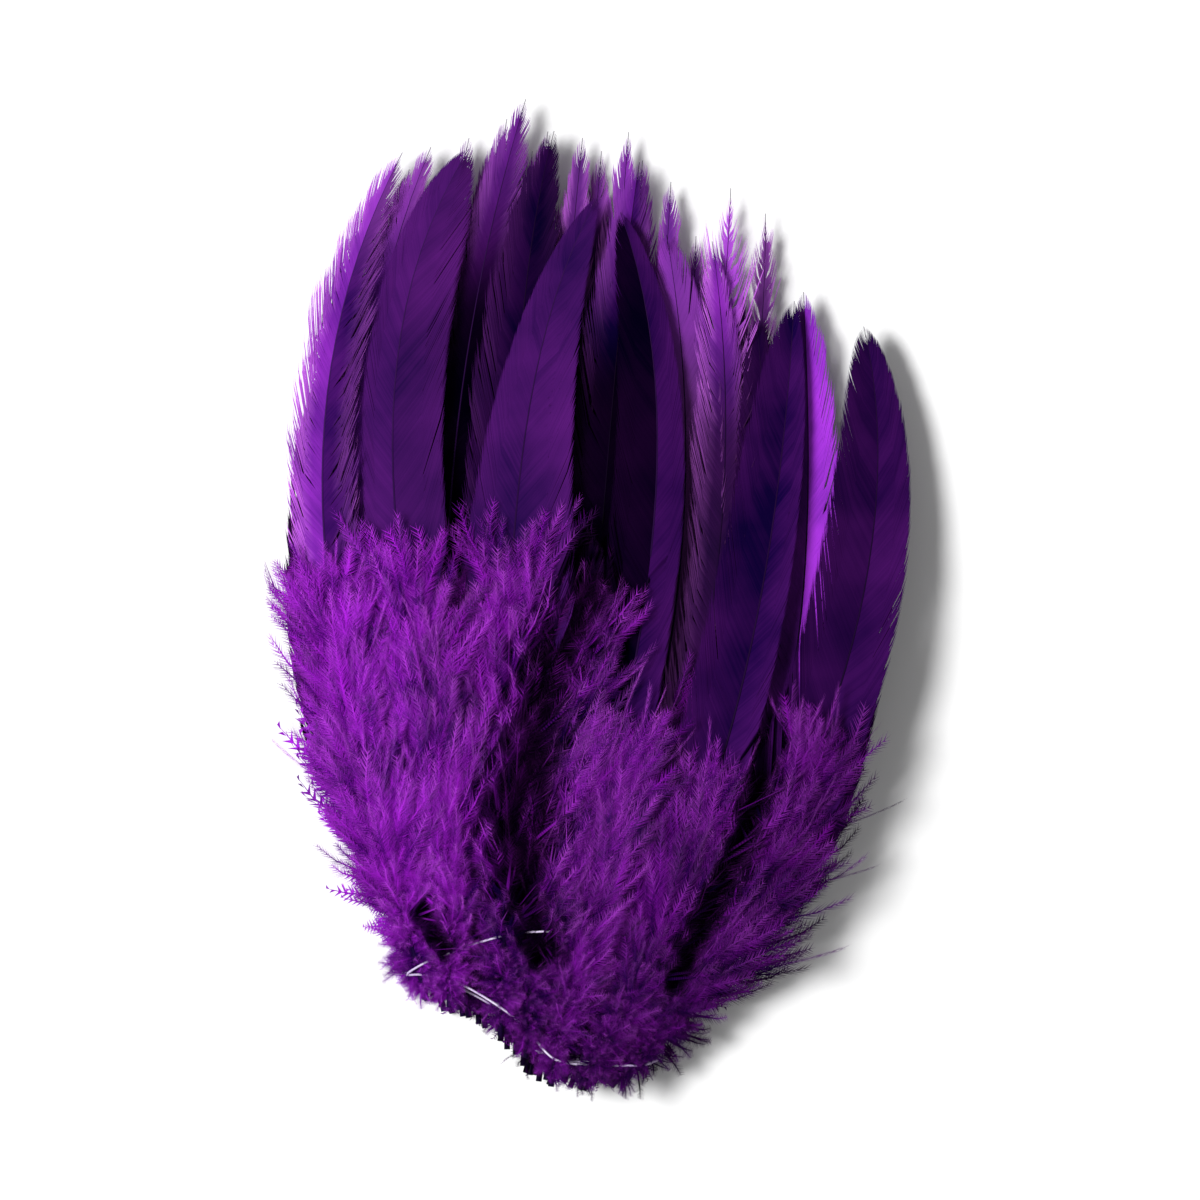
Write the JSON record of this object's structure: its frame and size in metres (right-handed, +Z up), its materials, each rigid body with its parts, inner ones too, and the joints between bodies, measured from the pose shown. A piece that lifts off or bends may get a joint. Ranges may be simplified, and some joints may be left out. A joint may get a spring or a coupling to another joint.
{
  "type": "strung saddle hackle feather bundle",
  "caption": "Bundle of dyed rooster saddle hackle feathers, strung by their quills on one thread and folded in rows, lying flat: fluffy down below, smooth pointed vanes above.",
  "frame": {"origin": "on the surface that the bundle lies on, at the middle of the bundle's outline", "axes": "+X to the right across the fan, +Y from the quill ends to the feather tips, +Z up from the surface"},
  "size_m": [0.099, 0.1571, 0.0234],
  "materials": {
    "dyed_hackle": "dyed feather: smooth barbs with a dull sheen in the vanes, soft bright down below",
    "thread": "undyed twisted sewing thread"
  },
  "bodies": {
    "root": {"back_row_feather_1": "dyed_hackle", "back_row_feather_2": "dyed_hackle", "back_row_feather_3": "dyed_hackle", "back_row_feather_4": "dyed_hackle", "back_row_feather_5": "dyed_hackle", "back_row_feather_6": "dyed_hackle", "back_row_feather_7": "dyed_hackle", "back_row_feather_8": "dyed_hackle", "fourth_row_feather_1": "dyed_hackle", "fourth_row_feather_2": "dyed_hackle", "fourth_row_feather_3": "dyed_hackle", "fourth_row_feather_4": "dyed_hackle", "fourth_row_feather_5": "dyed_hackle", "fourth_row_feather_6": "dyed_hackle", "fourth_row_feather_7": "dyed_hackle", "fourth_row_feather_8": "dyed_hackle", "fourth_row_feather_9": "dyed_hackle", "fourth_row_feather_10": "dyed_hackle", "fourth_row_feather_11": "dyed_hackle", "third_row_feather_1": "dyed_hackle", "third_row_feather_2": "dyed_hackle", "third_row_feather_3": "dyed_hackle", "third_row_feather_4": "dyed_hackle", "third_row_feather_5": "dyed_hackle", "third_row_feather_6": "dyed_hackle", "third_row_feather_7": "dyed_hackle", "third_row_feather_8": "dyed_hackle", "third_row_feather_9": "dyed_hackle", "third_row_feather_10": "dyed_hackle", "third_row_feather_11": "dyed_hackle", "third_row_feather_12": "dyed_hackle", "second_row_feather_1": "dyed_hackle", "second_row_feather_2": "dyed_hackle", "second_row_feather_3": "dyed_hackle", "second_row_feather_4": "dyed_hackle", "second_row_feather_5": "dyed_hackle", "second_row_feather_6": "dyed_hackle", "second_row_feather_7": "dyed_hackle", "second_row_feather_8": "dyed_hackle", "second_row_feather_9": "dyed_hackle", "second_row_feather_10": "dyed_hackle", "front_row_feather_1": "dyed_hackle", "front_row_feather_2": "dyed_hackle", "front_row_feather_3": "dyed_hackle", "front_row_feather_4": "dyed_hackle", "front_row_feather_5": "dyed_hackle", "front_row_feather_6": "dyed_hackle", "front_row_feather_7": "dyed_hackle", "stringing_thread": "thread"}
  },
  "joints": []
}
